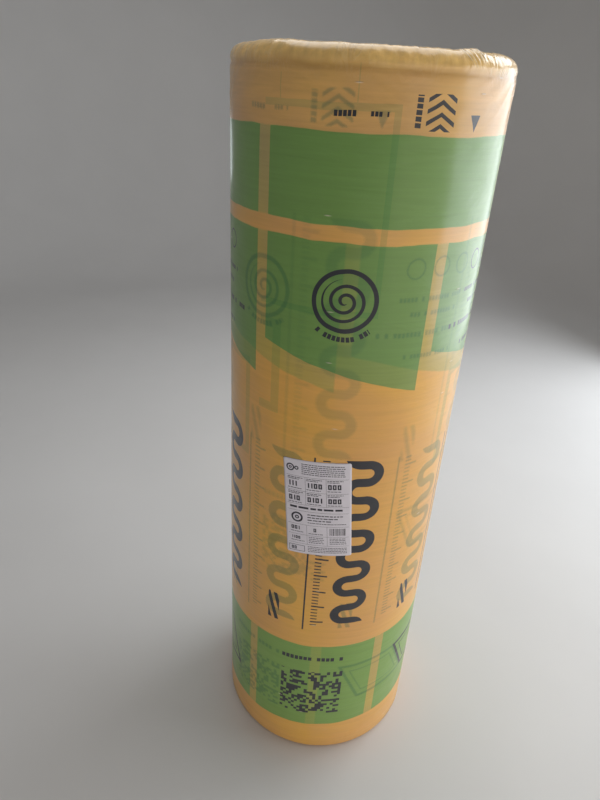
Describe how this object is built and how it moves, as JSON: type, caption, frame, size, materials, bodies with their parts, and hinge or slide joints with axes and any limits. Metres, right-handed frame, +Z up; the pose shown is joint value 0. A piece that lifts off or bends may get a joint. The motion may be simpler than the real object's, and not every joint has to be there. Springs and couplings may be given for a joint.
{
  "type": "insulation roll",
  "caption": "Tall roll of glass-wool insulation wound tight in printed polyethylene film, with gathered film hems over both ends and a paper sticker, standing on its end.",
  "frame": {"origin": "on the floor under the centre of the standing roll, at the bottom centre of its box", "axes": "+Z up along the winding's axis, -Y towards the front with the sticker, +X to the right of the picture"},
  "size_m": [0.3716, 0.3722, 1.206],
  "materials": {
    "glass_wool": "matt glass-wool fibre, pale yellow",
    "printed_film": "thin glossy polyethylene film, translucent orange-yellow with green printed panels",
    "sticker_paper": "satin white label paper"
  },
  "bodies": {
    "root": {"wool_roll": "glass_wool", "film_wrap": "printed_film", "paper_sticker": "sticker_paper"}
  },
  "joints": []
}
